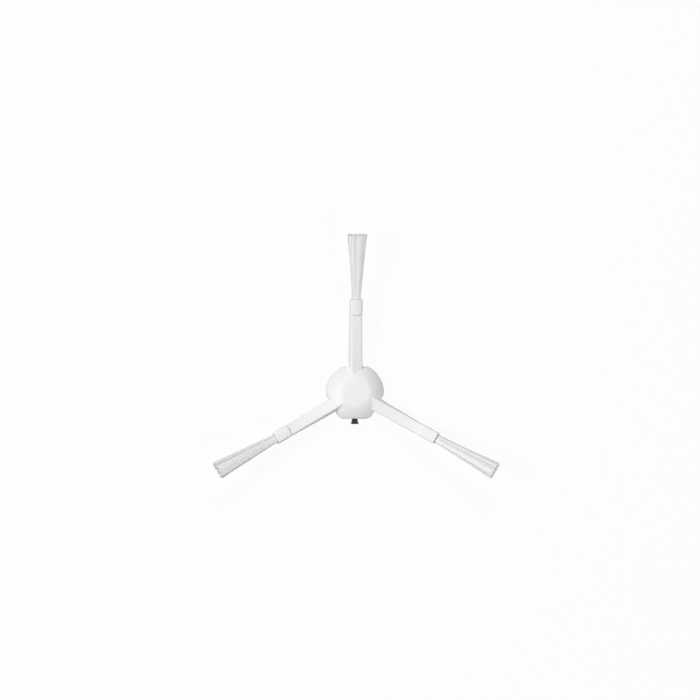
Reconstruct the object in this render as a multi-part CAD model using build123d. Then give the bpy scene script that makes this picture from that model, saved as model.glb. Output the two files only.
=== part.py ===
from build123d import *
import os
from math import cos, hypot, radians, sin, sqrt

# Side brush of a robot vacuum: a domed hub with three pitched arms, moulded as one,
# a clear bristle tuft in the end of each arm and a short dark tuft in the hub's edge.
# Millimetres and degrees. The origin is the mouth of the drive bore, +Z points out of
# the dome, and the first arm points along +Y.

# Hub
hub_radius = 14.4
skirt_height = 7.0
dome_radius = 20.0
crown_radius = 7.0  # of the flat on top of the dome, before its edge is blended
crown_blend = 5.5
hub_wall = 1.7
arm_flat_depth = 1.5  # how far the flat behind each arm is cut into the round
tuft_flat_depth = 1.3  # the same for the flat that holds the short tuft
lobe_corner_radius = 1.0
dome_edge_radius = 1.4
rim_bevel = 0.35

# Drive socket in the hub's back
bore_radius = 3.0
bore_depth = 9.5
key_width = 1.6
key_depth = 1.2
boss_wall = 3.2
rib_thickness = 1.4
rib_recess = 0.8  # of the ribs behind the rim

# Arms
arm_angles = (90, 210, 330)
arm_reach = 46.0
arm_root_width = 6.2
arm_tip_width = 5.8
arm_root_thickness = 4.8
arm_tip_thickness = 4.2
arm_bevel = 0.45
arm_height = 8.1  # of the arm's centre line where it leaves the hub
arm_rise = 14.0  # slope that the arm has reached at its collar
root_pitch = 18.0
tip_pitch = 7.0
arm_sections = 6  # along the curved run

# Collar round each arm's end
collar_length = 8.0
collar_bulge = 1.0  # of the collar's inner end, towards the hub
collar_front = 0.15  # how far the collar's sides stand out of the arm's front face
collar_camber = 0.5  # how far its middle stands out over its sides
collar_back = 0.15
collar_side = 0.1
collar_bevel = 0.3

# Clear tufts
tuft_length = 33.4
tuft_width = 4.7
tuft_thickness = 2.4
tuft_depth = 6.5
tuft_tip_width = 9.4
tuft_tip_thickness = 3.6

# Short dark tuft
short_angle = 270
short_height = 3.0
short_length = 2.6
short_width = 2.8
short_thickness = 1.7
short_depth = 4.6
short_tip_width = 3.9
short_tip_thickness = 2.2
short_pad_wall = 1.3

# Bristles
filament_size = 0.3
filament_pitch = 0.42
filament_sides = 6
filament_seat = 0.4  # how deep a loose filament starts in the packed root

# Flat wire anchors that the tufts are folded over
anchor_thickness = 0.45
anchor_height = 1.4
anchor_bite = 0.25  # into the socket's wall at each end
anchor_lift = 1.1  # over the bottom of the socket

# Fits
socket_clearance = 0.05

# Worked out from the sizes above
dome_center = skirt_height - sqrt(dome_radius**2 - hub_radius**2)
hub_height = dome_center + sqrt(dome_radius**2 - crown_radius**2)
arm_flat = hub_radius - arm_flat_depth
tuft_flat = hub_radius - tuft_flat_depth
boss_radius = bore_radius + boss_wall
bend_end = arm_reach - collar_length
bend_radius = (bend_end - arm_flat) / sin(radians(arm_rise))


def turned(angle):
    return Rot(0, 0, angle)


def hub_outline(inset):
    """The hub seen from above: a round with a flat behind each arm and one at the short tuft."""
    outline = Circle(hub_radius - inset)
    side = 4 * hub_radius
    for angle, flat in [(a, arm_flat) for a in arm_angles] + [(short_angle, tuft_flat)]:
        outline -= turned(angle) * Pos(flat - inset + side / 2, 0) * Rectangle(side, side)
    return outline


def domed(outline, inset, floor):
    """An outline raised from the floor to the dome and crown, or to faces that lie the inset below them."""
    prism = Pos(0, 0, floor) * extrude(outline, hub_height - inset - floor)
    return prism & Pos(0, 0, dome_center) * Sphere(dome_radius - inset)


def hub_block():
    """The hub's outside as a solid lump."""
    outline = hub_outline(0)
    block = domed(fillet(outline.vertices(), lobe_corner_radius), 0, 0)
    crown = block.faces().sort_by(Axis.Z)[-1]
    block = fillet(crown.edges(), crown_blend)
    dome = block.faces().filter_by(GeomType.SPHERE)[0]
    block = fillet(dome.outer_wire().edges(), dome_edge_radius)
    rim = block.faces().sort_by(Axis.Z)[0]
    return chamfer(rim.outer_wire().edges(), rim_bevel)


def blade_plane(place, slope, pitch):
    """Plane across an arm along +X: its x runs over the arm's width, its y out of the front face."""
    a = radians(slope)
    p = radians(pitch)
    across = (-sin(a) * sin(p), cos(p), cos(a) * sin(p))
    return Plane(origin=place, x_dir=across, z_dir=(cos(a), 0, sin(a)))


def arm_plane(share):
    """Plane across the arm at a share of its curved run, from the hub's flat to the collar."""
    a = radians(arm_rise * share)
    place = (arm_flat + bend_radius * sin(a), 0, arm_height + bend_radius * (1 - cos(a)))
    return blade_plane(place, arm_rise * share, root_pitch + (tip_pitch - root_pitch) * share)


collar_plane = arm_plane(1).offset(collar_length / cos(radians(arm_rise)))
tuft_place = collar_plane * Pos(0, (collar_front + collar_camber - collar_back) / 2)
short_place = Location(blade_plane((tuft_flat, 0, short_height), 0, 0))


def arm_section(share):
    """The arm's section at a share of its curved run: a flat bar with bevelled edges."""
    width = arm_root_width + (arm_tip_width - arm_root_width) * share
    thickness = arm_root_thickness + (arm_tip_thickness - arm_root_thickness) * share
    return chamfer(Rectangle(width, thickness).vertices(), arm_bevel)


def arm_blade():
    """The twisted arm, from inside the boss to inside its collar."""
    sections = [blade_plane((boss_radius / 2, 0, arm_height), 0, root_pitch) * arm_section(0)]
    for i in range(arm_sections):
        share = i / (arm_sections - 1)
        sections.append(arm_plane(share) * arm_section(share))
    sections.append(arm_plane(1).offset(collar_length / 2) * arm_section(1))
    return loft(sections)


def collar():
    """The thickened end of an arm: a cambered front, and an inner end that bulges towards the hub."""
    half = arm_tip_width / 2 + collar_side
    back = -arm_tip_thickness / 2 - collar_back
    front = arm_tip_thickness / 2 + collar_front
    walls = Polyline((-half, front), (-half, back), (half, back), (half, front))
    camber = ThreePointArc((half, front), (0, front + collar_camber), (-half, front))
    block = extrude(collar_plane * make_face(walls + camber), -collar_length)
    straight = collar_length - collar_bulge
    sides = Polyline((half, -straight), (half, 0), (-half, 0), (-half, -straight))
    bulge = ThreePointArc((-half, -straight), (0, -collar_length), (half, -straight))
    flat = Plane(origin=collar_plane.origin, x_dir=collar_plane.x_dir, z_dir=-collar_plane.y_dir)
    block &= extrude(flat * make_face(sides + bulge), arm_tip_thickness, both=True)
    return chamfer(block.edges(), collar_bevel)


# A tuft, its anchor and its socket are made at the origin, with the socket's mouth in the XY plane,
# its width along X and the bristles along +Z, and are then put in their places.


def anchor(width, depth):
    """A flat piece of wire across a socket, near its bottom, whose ends bite into the wall."""
    wire = Rectangle(width + 2 * (socket_clearance + anchor_bite), anchor_thickness)
    return Pos(0, 0, anchor_lift - depth) * extrude(wire, anchor_height)


def socket(width, thickness, depth):
    """What a tuft's root and its anchor take out of the moulding."""
    slot = SlotOverall(width + 2 * socket_clearance, thickness + 2 * socket_clearance)
    return extrude(slot, -depth - socket_clearance) + anchor(width, depth)


def filament_places(width, thickness):
    """Staggered rows of filaments that fit in a slot with round ends."""
    row_pitch = filament_pitch * sqrt(3) / 2
    end_radius = thickness / 2
    room = end_radius - filament_size / 2
    rows = int(room / row_pitch)
    columns = int(width / filament_pitch)
    places = []
    for row in range(-rows, rows + 1):
        for column in range(-columns, columns + 1):
            x = (column + row % 2 / 2) * filament_pitch
            y = row * row_pitch
            if hypot(max(abs(x) - width / 2 + end_radius, 0), y) <= room:
                places.append((x, y))
    return places


def tuft(width, thickness, depth, length, tip_width, tip_thickness):
    """A packed root that fills its socket round the anchor, and the filaments that fan out of it."""
    root = extrude(SlotOverall(width, thickness), -depth) - anchor(width, depth)
    outline = RegularPolygon(filament_size / 2, filament_sides)
    places = filament_places(width, thickness)
    widen = (tip_width - filament_size) / 2 / max(x for x, y in places)
    thicken = (tip_thickness - filament_size) / 2 / max(y for x, y in places)
    filaments = []
    for x, y in places:
        mouth = Vector(x, y)
        way = Vector(x * widen, y * thicken, length) - mouth
        seat = way * (filament_seat / length)
        filaments.append(extrude(Pos(mouth - seat) * outline, (way + seat).length, dir=way.normalized()))
    return root + filaments


def drive_bore():
    """A round blind bore with a key slot on each side, open at the hub's back."""
    keys = Rectangle(2 * (bore_radius + key_depth), key_width)
    return extrude(Circle(bore_radius) + keys, bore_depth)


def hub_inside():
    """The drive boss, the ribs that brace it and the pad behind the short tuft."""
    rib = Pos(hub_radius / 2, 0) * Rectangle(hub_radius, rib_thickness)
    pad_depth = short_depth + short_pad_wall
    pad = Pos(tuft_flat - pad_depth / 2, 0) * Rectangle(pad_depth, short_width + 2 * short_pad_wall)
    braces = turned(short_angle) * pad + [turned(angle) * rib for angle in arm_angles + (short_angle,)]
    inside = extrude(Circle(boss_radius), hub_height) + Pos(0, 0, rib_recess) * extrude(braces, hub_height)
    return inside & domed(hub_outline(hub_wall / 2), hub_wall / 2, 0)


def hub_with_arms():
    """The whole moulding: hub and arms, hollowed from the back, with its bore and sockets."""
    arm = arm_blade() + collar()
    arm_socket = tuft_place * socket(tuft_width, tuft_thickness, tuft_depth)
    short_socket = short_place * socket(short_width, short_thickness, short_depth)
    moulding = hub_block() + [turned(angle) * arm for angle in arm_angles]
    moulding -= domed(hub_outline(hub_wall), hub_wall, -hub_wall)
    moulding += hub_inside()
    moulding -= drive_bore()
    moulding -= [turned(angle) * arm_socket for angle in arm_angles]
    return moulding - turned(short_angle) * short_socket


clear_tuft = tuft(tuft_width, tuft_thickness, tuft_depth, tuft_length, tuft_tip_width, tuft_tip_thickness)
dark_tuft = tuft(
    short_width, short_thickness, short_depth, short_length, short_tip_width, short_tip_thickness
)

nodes = {"hub_with_arms": hub_with_arms()}
for number, angle in enumerate(arm_angles, 1):
    nodes[f"bristle_tuft_{number}"] = turned(angle) * tuft_place * clear_tuft
    nodes[f"tuft_anchor_{number}"] = turned(angle) * tuft_place * anchor(tuft_width, tuft_depth)
nodes["short_tuft"] = turned(short_angle) * short_place * dark_tuft
nodes["short_tuft_anchor"] = turned(short_angle) * short_place * anchor(short_width, short_depth)

os.makedirs("parts", exist_ok=True)
for name, solid in nodes.items():
    export_step(solid, f"parts/{name}.step")
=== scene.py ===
import math
import random

import bpy
from mathutils import Matrix, Vector


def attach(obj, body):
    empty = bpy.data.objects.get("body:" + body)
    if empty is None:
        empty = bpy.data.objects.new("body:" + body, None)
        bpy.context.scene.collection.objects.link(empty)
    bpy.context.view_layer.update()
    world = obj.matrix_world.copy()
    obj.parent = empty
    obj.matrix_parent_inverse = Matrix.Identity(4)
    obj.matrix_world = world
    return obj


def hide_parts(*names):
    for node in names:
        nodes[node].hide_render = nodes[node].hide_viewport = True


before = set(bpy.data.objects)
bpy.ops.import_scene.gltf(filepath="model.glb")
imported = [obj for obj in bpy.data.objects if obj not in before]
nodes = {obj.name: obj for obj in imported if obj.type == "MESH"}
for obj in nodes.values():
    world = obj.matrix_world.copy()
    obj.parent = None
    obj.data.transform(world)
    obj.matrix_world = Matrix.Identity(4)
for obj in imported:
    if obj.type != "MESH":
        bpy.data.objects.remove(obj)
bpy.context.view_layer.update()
print("frame loaded,", len(nodes), "nodes")


# Handling of one piece at a time

def holdOnly(piece):
    bpy.ops.object.select_all(action="DESELECT")
    piece.select_set(True)
    bpy.context.view_layer.objects.active = piece


def workOn(piece, modifierType, **settings):
    holdOnly(piece)
    bpy.ops.object.modifier_add(type=modifierType)
    modifier = piece.modifiers[-1]
    for setting, value in settings.items():
        setattr(modifier, setting, value)
    bpy.ops.object.modifier_apply(modifier=modifier.name)


def settle(piece, material, stoodFor):
    piece.data.materials.clear()
    piece.data.materials.append(material)
    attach(piece, "root")
    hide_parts(stoodFor)


# Shader groups

finishNoise = {
    "roughness": 0.55,
    "patchDetail": 3,
    "grainDetail": 2,
}

glossSpan = (0.25, 0.75)  # values of a noise or tint that gloss runs between
cutStart = 0.93  # share of a strand's run at which its cut end begins


def newGroup(name, inputs, outputs):
    group = bpy.data.node_groups.new(name, "ShaderNodeTree")
    for label, kind, start in inputs:
        socket = group.interface.new_socket(label, in_out="INPUT", socket_type=kind)
        socket.default_value = start
    for label, kind in outputs:
        group.interface.new_socket(label, in_out="OUTPUT", socket_type=kind)
    return group, group.nodes.new("NodeGroupInput"), group.nodes.new("NodeGroupOutput")


def noiseAt(tree, vector, scale, detail):
    noise = tree.nodes.new("ShaderNodeTexNoise")
    noise.inputs["Detail"].default_value = detail
    noise.inputs["Roughness"].default_value = finishNoise["roughness"]
    tree.links.new(vector, noise.inputs["Vector"])
    tree.links.new(scale, noise.inputs["Scale"])
    return noise.outputs["Fac"]


def glossFrom(tree, value, glossSide, mattSide):
    ranged = tree.nodes.new("ShaderNodeMapRange")
    ranged.inputs["From Min"].default_value = glossSpan[0]
    ranged.inputs["From Max"].default_value = glossSpan[1]
    tree.links.new(value, ranged.inputs["Value"])
    tree.links.new(glossSide, ranged.inputs["To Min"])
    tree.links.new(mattSide, ranged.inputs["To Max"])
    return ranged.outputs["Result"]


def blendColors(tree, share, first, second):
    mix = tree.nodes.new("ShaderNodeMix")
    mix.data_type = "RGBA"
    tree.links.new(share, mix.inputs["Factor"])
    tree.links.new(first, mix.inputs["A"])
    tree.links.new(second, mix.inputs["B"])
    return mix.outputs["Result"]


# Slow change of tint and gloss with a fine grain, for what is moulded or drawn
def makeFinishGroup():
    group, given, put = newGroup("surfaceFinish", [
        ("Color A", "NodeSocketColor", (1, 1, 1, 1)),
        ("Color B", "NodeSocketColor", (1, 1, 1, 1)),
        ("Patch Scale", "NodeSocketFloat", 60),
        ("Grain Scale", "NodeSocketFloat", 2500),
        ("Gloss Side", "NodeSocketFloat", 0.3),
        ("Matt Side", "NodeSocketFloat", 0.5),
    ], [("Color", "NodeSocketColor"), ("Roughness", "NodeSocketFloat"), ("Height", "NodeSocketFloat")])
    place = group.nodes.new("ShaderNodeTexCoord").outputs["Object"]
    patches = noiseAt(group, place, given.outputs["Patch Scale"], finishNoise["patchDetail"])
    grain = noiseAt(group, place, given.outputs["Grain Scale"], finishNoise["grainDetail"])
    color = blendColors(group, patches, given.outputs["Color A"], given.outputs["Color B"])
    group.links.new(color, put.inputs["Color"])
    gloss = glossFrom(group, patches, given.outputs["Gloss Side"], given.outputs["Matt Side"])
    group.links.new(gloss, put.inputs["Roughness"])
    group.links.new(grain, put.inputs["Height"])
    return group


# Each strand has its own tint up to its cut end
def makeStrandGroup():
    group, given, put = newGroup("strandFinish", [
        ("Dull", "NodeSocketColor", (1, 1, 1, 1)),
        ("Bright", "NodeSocketColor", (1, 1, 1, 1)),
        ("Tip", "NodeSocketColor", (1, 1, 1, 1)),
        ("Gloss Side", "NodeSocketFloat", 0.2),
        ("Matt Side", "NodeSocketFloat", 0.4),
    ], [("Color", "NodeSocketColor"), ("Roughness", "NodeSocketFloat")])
    tint = group.nodes.new("ShaderNodeAttribute")
    tint.attribute_name = "strandTint"
    run = group.nodes.new("ShaderNodeAttribute")
    run.attribute_name = "strandRun"
    along = group.nodes.new("ShaderNodeMapRange")
    along.inputs["From Min"].default_value = cutStart
    group.links.new(run.outputs["Fac"], along.inputs["Value"])
    body = blendColors(group, tint.outputs["Fac"], given.outputs["Dull"], given.outputs["Bright"])
    whole = blendColors(group, along.outputs["Result"], body, given.outputs["Tip"])
    group.links.new(whole, put.inputs["Color"])
    gloss = glossFrom(group, tint.outputs["Fac"], given.outputs["Gloss Side"], given.outputs["Matt Side"])
    group.links.new(gloss, put.inputs["Roughness"])
    return group


finishGroup = makeFinishGroup()
strandGroup = makeStrandGroup()


# Materials

def newMaterial(name, group, look, body):
    material = bpy.data.materials.new(name)
    material.use_nodes = True
    tree = material.node_tree
    shader = tree.nodes["Principled BSDF"]
    finish = tree.nodes.new("ShaderNodeGroup")
    finish.name = "finish"
    finish.node_tree = group
    for label, value in look.items():
        finish.inputs[label].default_value = value
    for label, value in body.items():
        shader.inputs[label].default_value = value
    tree.links.new(finish.outputs["Color"], shader.inputs["Base Color"])
    tree.links.new(finish.outputs["Roughness"], shader.inputs["Roughness"])
    return material


def addGrain(material, strength, depth):
    tree = material.node_tree
    bump = tree.nodes.new("ShaderNodeBump")
    bump.inputs["Strength"].default_value = strength
    bump.inputs["Distance"].default_value = depth
    tree.links.new(tree.nodes["finish"].outputs["Height"], bump.inputs["Height"])
    tree.links.new(bump.outputs["Normal"], tree.nodes["Principled BSDF"].inputs["Normal"])


def makeWhitePlastic():
    look = {
        "Color A": (0.80, 0.80, 0.795, 1),
        "Color B": (0.84, 0.84, 0.835, 1),
        "Patch Scale": 45,
        "Grain Scale": 2600,
        "Gloss Side": 0.48,
        "Matt Side": 0.60,
    }
    material = newMaterial("whitePlastic", finishGroup, look, {"IOR": 1.46})
    addGrain(material, strength=0.12, depth=0.00002)
    return material


def makeClearNylon():
    look = {
        "Dull": (0.59, 0.595, 0.61, 1),
        "Bright": (0.89, 0.893, 0.90, 1),
        "Tip": (0.73, 0.733, 0.742, 1),
        "Gloss Side": 0.40,
        "Matt Side": 0.55,
    }
    return newMaterial("clearNylon", strandGroup, look, {"IOR": 1.40})


def makeDarkNylon():
    look = {
        "Dull": (0.016, 0.016, 0.018, 1),
        "Bright": (0.030, 0.030, 0.033, 1),
        "Tip": (0.036, 0.036, 0.039, 1),
        "Gloss Side": 0.34,
        "Matt Side": 0.50,
    }
    return newMaterial("darkNylon", strandGroup, look, {"IOR": 1.53})


def makeBrassWire():
    look = {
        "Color A": (0.72, 0.55, 0.27, 1),
        "Color B": (0.82, 0.67, 0.36, 1),
        "Patch Scale": 300,
        "Grain Scale": 5000,
        "Gloss Side": 0.25,
        "Matt Side": 0.42,
    }
    material = newMaterial("brassWire", finishGroup, look, {"Metallic": 1})
    addGrain(material, strength=0.15, depth=0.00001)
    return material


whitePlastic = makeWhitePlastic()
clearNylon = makeClearNylon()
darkNylon = makeDarkNylon()
brassWire = makeBrassWire()
print("materials made")


# Hub and arms: the solid's own skin, with the mould's softened edges and roots

moulding = {
    "weld": 0.00001,
    "grid": 0.00021,  # of the new skin
    "softness": 0.5,
    "passes": 7,  # over the whole skin
    "crownReach": 0.0088,  # the flat on the dome runs out softly within this radius
    "crownFloor": 0.009,
    "crownPasses": 90,
    "share": 0.45,  # of the faces that stay
}


def makeMoulding():
    skin = bpy.data.objects.new("moulding", nodes["hub_with_arms"].data.copy())
    bpy.context.scene.collection.objects.link(skin)
    holdOnly(skin)
    bpy.ops.object.mode_set(mode="EDIT")
    bpy.ops.mesh.select_all(action="SELECT")
    bpy.ops.mesh.remove_doubles(threshold=moulding["weld"])
    bpy.ops.object.mode_set(mode="OBJECT")
    workOn(skin, "REMESH", mode="VOXEL", voxel_size=moulding["grid"])
    workOn(skin, "SMOOTH", factor=moulding["softness"], iterations=moulding["passes"])
    crown = skin.vertex_groups.new(name="crown")
    crown.add([v.index for v in skin.data.vertices
               if v.co.xy.length < moulding["crownReach"] and v.co.z > moulding["crownFloor"]], 1, "ADD")
    workOn(skin, "SMOOTH", factor=moulding["softness"], iterations=moulding["crownPasses"],
           vertex_group="crown")
    workOn(skin, "DECIMATE", ratio=moulding["share"])
    bpy.ops.object.shade_smooth()
    settle(skin, whitePlastic, "hub_with_arms")
    print("moulding:", len(skin.data.polygons), "faces")


makeMoulding()


# Bristles: one strand is modelled, and each copy is bent to its own line

strandHabit = {
    "smoothAngle": 70,
    "jitter": 0.12,  # of the pitch, in the strands' places
    "leastPull": 0.3,  # share of the cling that every strand has
    "ownTint": 0.15,  # share of a strand's tint that isn't its clump's
}

corePattern = {
    "sides": 48,
    "steps": 8,
    "size": 2,  # a round of radius 1, which is then drawn out to the tuft's shape
    "endRun": 0.9,  # the core has no cut ends
}


def makeStrand(shape):
    bpy.ops.object.select_all(action="DESELECT")
    bpy.ops.mesh.primitive_circle_add(vertices=shape["sides"], radius=shape["size"] / 2, fill_type="NGON")
    strand = bpy.context.object
    strand.name = "strand"
    bpy.ops.object.mode_set(mode="EDIT")
    bpy.ops.mesh.select_all(action="SELECT")
    for step in range(shape["steps"]):
        bpy.ops.mesh.extrude_region_move(TRANSFORM_OT_translate={"value": (0, 0, 1 / shape["steps"])})
    bpy.ops.mesh.select_all(action="SELECT")
    bpy.ops.mesh.normals_make_consistent(inside=False)
    bpy.ops.object.mode_set(mode="OBJECT")
    bpy.ops.object.shade_smooth_by_angle(angle=math.radians(strandHabit["smoothAngle"]))
    strand.data.attributes.new("strandTint", "FLOAT", "POINT")
    strand.data.attributes.new("strandRun", "FLOAT", "POINT")
    return strand


def tintAt(piece, vertex, tint, run):
    piece.data.attributes["strandTint"].data[vertex.index].value = tint
    piece.data.attributes["strandRun"].data[vertex.index].value = run


# Places of the strands in a slot with round ends, in staggered rows
def slotPlaces(tuft, dice):
    places = []
    pitch = tuft["pitch"]
    shift = strandHabit["jitter"] * pitch
    endRadius = tuft["thickness"] / 2
    rowPitch = pitch * math.sqrt(3) / 2
    rows = int(endRadius / rowPitch)
    columns = int(tuft["width"] / pitch)
    for row in range(-rows, rows + 1):
        for column in range(-columns, columns + 1):
            x = (column + row % 2 / 2) * pitch
            y = row * rowPitch
            pastStraight = max(abs(x) - tuft["width"] / 2 + endRadius, 0)
            if math.hypot(pastStraight, y) <= endRadius - pitch / 2:
                places.append((x + dice.uniform(-shift, shift), y + dice.uniform(-shift, shift)))
    return places


# Where the strands end if each keeps to itself
def fanTips(roots, tuft):
    wide = max(x for x, y in roots)
    deep = max(y for x, y in roots)
    return [(x / wide * tuft["tipWidth"] / 2, y / deep * tuft["tipThickness"] / 2) for x, y in roots]


def nearestClump(clumps, spot):
    return min(clumps, key=lambda clump: math.dist(clump, spot))


def clumpTint(tuft, value):
    # The tuft's painted light and shade is added to the clump's own tint
    return min(max(tuft["paintedLightShade"] + value, 0), 1)


# Strands cling together towards their tips, each clump in its own tint, and the whole keeps its width
def clungTips(tips, clumps, tuft, dice):
    clung = []
    own = strandHabit["ownTint"]
    for x, y in tips:
        near = nearestClump(clumps, (x, y))
        pull = dice.uniform(strandHabit["leastPull"], 1) * tuft["cling"]
        tint = clumpTint(tuft, (1 - own) * clumps[near] + own * dice.random())
        clung.append((x + (near[0] - x) * pull, y, tint))
    places = [x for x, y, tint in clung]
    stretch = (tuft["tipWidth"] - tuft["size"]) / (max(places) - min(places))
    return [(x * stretch + tuft["lean"], y, tint) for x, y, tint in clung]


# How far the tuft has fanned out at a height over its mouth, from 0 to 1
def flareAt(tuft, height):
    run = max(height, 0) / tuft["length"]
    return (1 - tuft["flare"]) * run + tuft["flare"] * run * run


# The frame of a tuft's mouth: x over its width, y out of the arm's front, z along the bristles
def mouthFrame(tuft):
    rise, tilt = math.radians(tuft["rise"]), math.radians(tuft["tilt"])
    along = Vector((math.cos(rise), 0, math.sin(rise)))
    across = Vector((-math.sin(rise) * math.sin(tilt), math.cos(tilt), math.cos(rise) * math.sin(tilt)))
    front = along.cross(across)
    spot = Vector((tuft["reach"], 0, tuft["height"])) + front * tuft["forward"]
    axes = Matrix((across, front, along)).transposed().to_4x4()
    return Matrix.Rotation(math.radians(tuft["angle"]), 4, "Z") @ Matrix.Translation(spot) @ axes


# A solid middle of a tuft, built here in the clumps' tints: strands lie sunk in it and run on past its
# end
def makeCore(tuft, roots, clumps, place):
    core = makeStrand(corePattern)
    wide = max(x for x, y in roots)
    deep = max(y for x, y in roots)
    for vertex in core.data.vertices:
        share = vertex.co.z
        across = math.copysign(math.sqrt(abs(vertex.co.x)), vertex.co.x)
        front = math.copysign(math.sqrt(abs(vertex.co.y)), vertex.co.y)
        near = nearestClump(clumps, (across * tuft["tipWidth"] / 2, front * tuft["tipThickness"] / 2))
        height = share * (tuft["length"] - tuft["coreShort"] + tuft["seat"]) - tuft["seat"]
        flare = flareAt(tuft, height)
        halfWide = wide + (tuft["tipWidth"] / 2 - tuft["size"] - wide) * flare
        halfDeep = deep + tuft["coreProud"] + (tuft["coreTipThickness"] / 2 - deep) * flare
        vertex.co = place @ Vector((across * halfWide + tuft["lean"] * flare, front * halfDeep, height))
        tintAt(core, vertex, clumpTint(tuft, clumps[near]), share * corePattern["endRun"])
    return core


def bendStrand(strand, root, tip, tuft, place, dice):
    cut = tuft["length"] + dice.uniform(-1, 1) * tuft["uneven"]
    bow = [dice.uniform(-1, 1) * reach for reach in tuft["bow"]]
    twist = Matrix.Rotation(dice.uniform(0, math.tau), 2)
    for vertex in strand.data.vertices:
        share = vertex.co.z
        height = share * (cut + tuft["seat"]) - tuft["seat"]
        flare = flareAt(tuft, height)
        swing = math.sin(math.pi * share)
        around = twist @ vertex.co.xy
        x = root[0] + (tip[0] - root[0]) * flare + bow[0] * swing + around.x
        y = root[1] + (tip[1] - root[1]) * flare + bow[1] * swing + around.y
        vertex.co = place @ Vector((x, y, height))
        tintAt(strand, vertex, tip[2], share)


def makeTuft(name, tuft, material, stoodFor):
    dice = random.Random(tuft["seed"])
    strand = makeStrand(tuft)
    place = mouthFrame(tuft)
    roots = slotPlaces(tuft, dice)
    tips = fanTips(roots, tuft)
    clumps = {spot: dice.random() for spot in dice.sample(tips, tuft["clumps"])}
    copies = [makeCore(tuft, roots, clumps, place)]
    for root, tip in zip(roots, clungTips(tips, clumps, tuft, dice)):
        copy = strand.copy()
        copy.data = strand.data.copy()
        bpy.context.scene.collection.objects.link(copy)
        bendStrand(copy, root, tip, tuft, place, dice)
        copies.append(copy)
    bpy.data.objects.remove(strand)
    holdOnly(copies[0])
    for copy in copies:
        copy.select_set(True)
    bpy.ops.object.join()
    bristles = bpy.context.object
    bristles.name = name
    settle(bristles, material, stoodFor)
    print(name, len(roots), "strands")


clearTuft = {
    "reach": 0.046,  # of the socket's mouth from the drive axis
    "height": 0.013177,  # of the mouth's middle over the hub's rim, at the end of the arm's curve
    "forward": 0.00025,  # from there out of the arm's front
    "rise": 14,
    "tilt": 7,
    "width": 0.0047,
    "thickness": 0.0024,
    "tipThickness": 0.0036,
    "seat": 0.004,  # how deep in the socket the strands start
    "sides": 6,
    "steps": 6,
    "size": 0.00028,  # of one strand
    "pitch": 0.00034,
    "coreProud": 0.0001,  # how far the core covers the outer strands
    "coreShort": 0.0006,
    "coreTipThickness": 0.0033,
    "uneven": 0.0004,
    "flare": 0.3,
    "bow": (0.00025, 0.00005),  # over the width, and out of the front
    "cling": 0.35,
    "clumps": 30,
}

# Each tuft's own length and spread. The painted light and shade makes all its clumps lighter or darker,
# standing in for how the light falls on each tuft
eachClearTuft = [
    {"angle": 90, "length": 0.0322, "tipWidth": 0.0100, "lean": 0, "paintedLightShade": 0.03, "seed": 68},
    {"angle": 210, "length": 0.0332, "tipWidth": 0.0091, "lean": -0.0006, "paintedLightShade": -0.1, "seed": 97},
    {"angle": 330, "length": 0.0332, "tipWidth": 0.0087, "lean": 0.0003, "paintedLightShade": -0.02, "seed": 47},
]

for number, own in enumerate(eachClearTuft, 1):
    tuft = {**clearTuft, **own}
    makeTuft(f"clearBristles{number}", tuft, clearNylon, f"bristle_tuft_{number}")

shortTuft = {
    "angle": 270,
    "reach": 0.0131,
    "height": 0.003,
    "forward": 0,
    "rise": 0,
    "tilt": 0,
    "width": 0.0028,
    "thickness": 0.0017,
    "tipWidth": 0.0039,
    "tipThickness": 0.0022,
    "lean": 0,
    "length": 0.0026,
    "seat": 0.003,
    "sides": 6,
    "steps": 3,
    "size": 0.00024,
    "pitch": 0.00031,
    "coreProud": 0,
    "coreShort": 0.0004,
    "coreTipThickness": 0.0018,
    "uneven": 0.00015,
    "flare": 0.2,
    "bow": (0.00005, 0.00002),
    "cling": 0.15,
    "clumps": 6,
    "paintedLightShade": 0,
    "seed": 5,
}

makeTuft("darkBristles", shortTuft, darkNylon, "short_tuft")

# The wire anchors deep in the sockets keep the shape that the frame has
for name, node in nodes.items():
    if "anchor" in name:
        node.data.materials.clear()
        node.data.materials.append(brassWire)


# Floor, light and camera

floorLook = {
    "size": 6,
    "color": (0.70, 0.70, 0.70, 1),
    "roughness": 0.9,
    "paper": 0.95,  # share of plain white that the camera sees, over the lit floor
}


def seenDirectly(tree):
    path = tree.nodes.new("ShaderNodeLightPath")
    seen = path.outputs["Is Camera Ray"]
    for ray in ("Is Glossy Ray", "Is Transmission Ray"):
        either = tree.nodes.new("ShaderNodeMath")
        either.operation = "MAXIMUM"
        tree.links.new(seen, either.inputs[0])
        tree.links.new(path.outputs[ray], either.inputs[1])
        seen = either.outputs[0]
    return seen


def makeFloor():
    bpy.ops.object.select_all(action="DESELECT")
    bpy.ops.mesh.primitive_plane_add(size=floorLook["size"])
    floor = bpy.context.object
    floor.name = "floor"
    material = bpy.data.materials.new("paleFloor")
    material.use_nodes = True
    tree = material.node_tree
    shader = tree.nodes["Principled BSDF"]
    shader.inputs["Base Color"].default_value = floorLook["color"]
    shader.inputs["Roughness"].default_value = floorLook["roughness"]
    shader.inputs["Specular IOR Level"].default_value = 0
    paper = tree.nodes.new("ShaderNodeEmission")
    share = tree.nodes.new("ShaderNodeMath")
    share.operation = "MULTIPLY"
    share.inputs[1].default_value = floorLook["paper"]
    tree.links.new(seenDirectly(tree), share.inputs[0])
    mix = tree.nodes.new("ShaderNodeMixShader")
    tree.links.new(share.outputs[0], mix.inputs["Fac"])
    tree.links.new(shader.outputs[0], mix.inputs[1])
    tree.links.new(paper.outputs[0], mix.inputs[2])
    tree.links.new(mix.outputs[0], tree.nodes["Material Output"].inputs["Surface"])
    floor.data.materials.append(material)


makeFloor()

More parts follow.
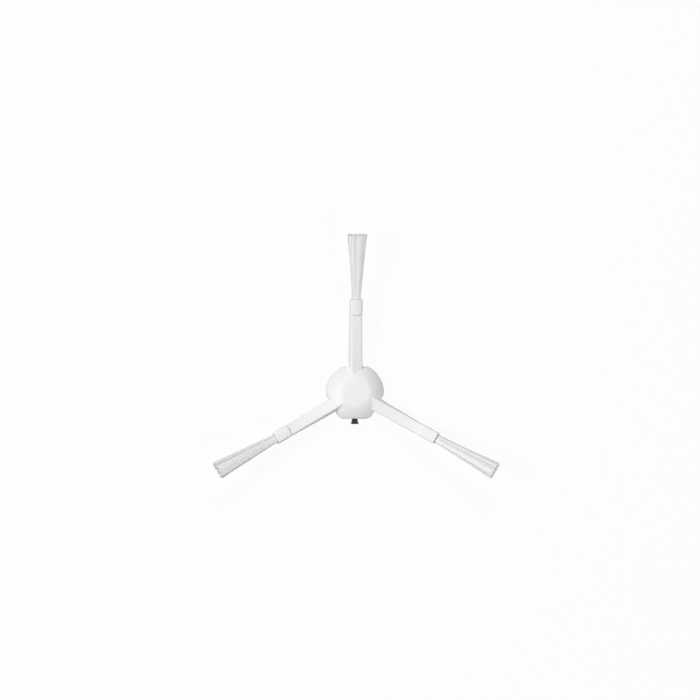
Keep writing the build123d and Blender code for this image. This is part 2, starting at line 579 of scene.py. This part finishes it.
studio = {
    "ambient": 0.05,
    "lamps": [
        {"name": "leftLight", "place": (-0.77, 0, 0.92), "size": 0.15, "power": 9.2},
        {"name": "farLight", "place": (0, 0.77, 0.92), "size": 0.15, "power": 4.9},
        {"name": "nearLight", "place": (0.545, -0.545, 0.92), "size": 0.15, "power": 3.6},
    ],
}


def makeLight():
    world = bpy.data.worlds.new("studio")
    bpy.context.scene.world = world
    world.use_nodes = True
    tree = world.node_tree
    background = tree.nodes["Background"]
    background.inputs["Color"].default_value = (1, 1, 1, 1)
    level = tree.nodes.new("ShaderNodeMapRange")
    level.inputs["To Min"].default_value = studio["ambient"]
    level.inputs["To Max"].default_value = 1
    tree.links.new(seenDirectly(tree), level.inputs["Value"])
    tree.links.new(level.outputs["Result"], background.inputs["Strength"])
    for lamp in studio["lamps"]:
        bpy.ops.object.select_all(action="DESELECT")
        bpy.ops.object.light_add(type="AREA", location=lamp["place"])
        light = bpy.context.object
        light.name = lamp["name"]
        light.data.energy = lamp["power"]
        light.data.size = lamp["size"]
        light.rotation_euler = (-light.location).to_track_quat("-Z", "Y").to_euler()


makeLight()

photoCamera = {
    "lookAt": (-0.00269, 0.02104, 0.008),
    "distance": 0.75,
    "tilt": 5.5,
    "side": 220,  # the way the camera leans over, seen from above
    "wide": 0.3487,  # what the frame takes in at that distance
    "sensor": 36,
}


def makeCamera():
    tilt, side = math.radians(photoCamera["tilt"]), math.radians(photoCamera["side"])
    back = Vector((math.sin(tilt) * math.cos(side), math.sin(tilt) * math.sin(side), math.cos(tilt)))
    target = Vector(photoCamera["lookAt"])
    bpy.ops.object.select_all(action="DESELECT")
    bpy.ops.object.camera_add(location=target + back * photoCamera["distance"])
    camera = bpy.context.object
    camera.name = "photoCamera"
    upward = Vector((0, 1, 0)) - back * back.y
    upward.normalize()
    camera.rotation_euler = Matrix((upward.cross(back), upward, back)).transposed().to_euler()
    camera.data.sensor_width = photoCamera["sensor"]
    camera.data.lens = photoCamera["sensor"] * photoCamera["distance"] / photoCamera["wide"]
    bpy.context.scene.camera = camera


makeCamera()
bpy.context.scene.view_settings.view_transform = "Standard"
print("floor, light and camera set")
